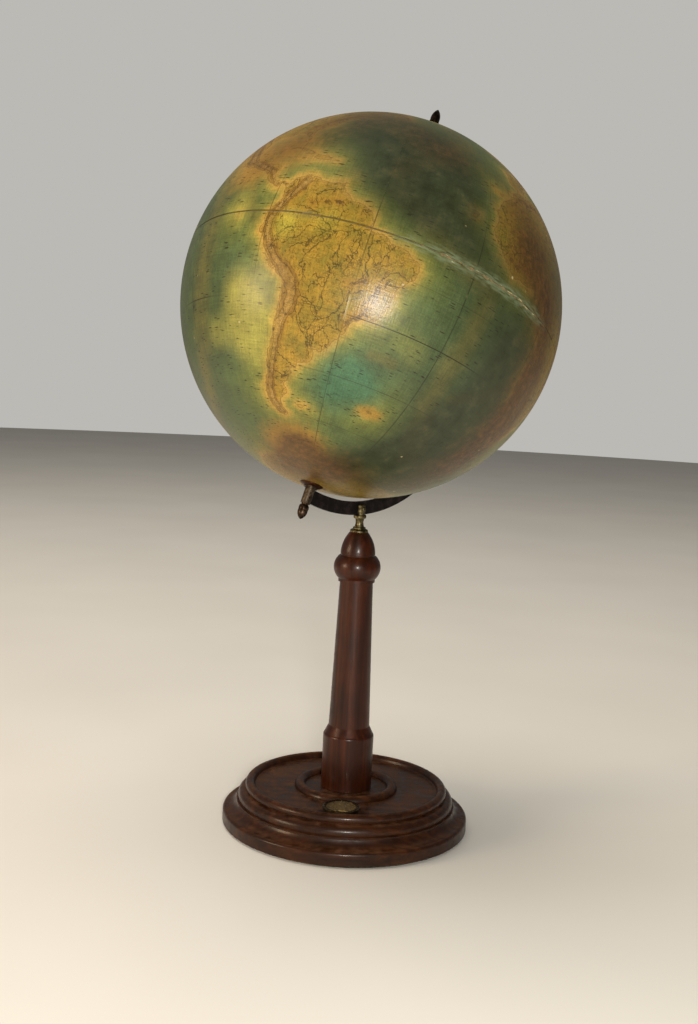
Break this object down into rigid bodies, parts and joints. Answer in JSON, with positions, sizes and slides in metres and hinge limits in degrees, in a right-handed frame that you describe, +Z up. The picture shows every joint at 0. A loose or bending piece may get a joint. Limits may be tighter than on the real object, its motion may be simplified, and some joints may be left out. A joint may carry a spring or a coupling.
{
  "type": "desktop globe on stand",
  "caption": "Tilted table globe turning on a polar axle in a half-meridian arm, on a turned wooden column and foot with an inset compass.",
  "frame": {"origin": "centre of the foot's underside, on the surface that the stand rests on", "axes": "+Z up along the column, -Y towards the compass side, which is the front; the globe's axis leans towards +X and +Y"},
  "size_m": [0.33, 0.33, 0.6483],
  "materials": {
    "foot_wood": "dark reddish-brown stained and varnished hardwood, worn semi-gloss",
    "column_wood": "dark reddish-brown stained and varnished hardwood, semi-gloss",
    "green_baize": "dark green baize, matt",
    "screw_steel": "plain steel, dull",
    "aged_brass": "old brass, tarnished",
    "blackened_brass": "blackened, satin with rubbed edges",
    "dull_nickel": "worn nickel over brass, dull",
    "axle_steel": "drawn steel",
    "dark_bronze": "dark bronze patina",
    "compass_metal": "dull nickel plate",
    "compass_paper": "yellowed card, matt",
    "compass_glass": "clear flat glass",
    "needle_steel": "blued steel",
    "shell_card": "pressed card, matt",
    "block_wood": "plain beech, unfinished",
    "pole_cap_bronze": "dark brown patinated metal",
    "map_paper": "printed paper with old yellowed varnish, semi-gloss"
  },
  "bodies": {
    "stand": {"foot": "foot_wood", "foot_felt": "green_baize", "column": "column_wood", "column_screw": "screw_steel", "column_washer": "screw_steel", "column_ferrule": "aged_brass", "arm_post": "aged_brass", "arm_rivet": "aged_brass", "meridian_arm": "blackened_brass", "south_barrel": "dull_nickel", "north_barrel": "dull_nickel", "axle_rod": "axle_steel", "south_washer": "aged_brass", "north_washer": "aged_brass", "south_nut": "dark_bronze", "north_nut": "dark_bronze", "compass_case": "compass_metal", "compass_card": "compass_paper", "compass_pivot": "aged_brass", "compass_glass": "compass_glass", "compass_bezel": "compass_metal"},
    "globe": {"shell_north": "shell_card", "shell_south": "shell_card", "equator_ring": "shell_card", "pole_block_north": "block_wood", "pole_block_south": "block_wood", "bush_north": "aged_brass", "bush_south": "aged_brass", "pole_cap_north": "pole_cap_bronze", "pole_cap_south": "pole_cap_bronze", "gores_north": "map_paper", "gores_south": "map_paper"},
    "needle": {"compass_needle": "needle_steel", "compass_needle_cup": "aged_brass"}
  },
  "joints": [
    {"name": "globe_spin", "type": "hinge", "parent": "stand", "child": "globe", "pos_m": [0, 0, 0.4638], "axis": [0.2563, 0.3055, 0.9171], "continuous": true},
    {"name": "needle_spin", "type": "hinge", "parent": "stand", "child": "needle", "pos_m": [-0.003, -0.0646, 0.031], "axis": [0, 0, 1], "continuous": true}
  ]
}
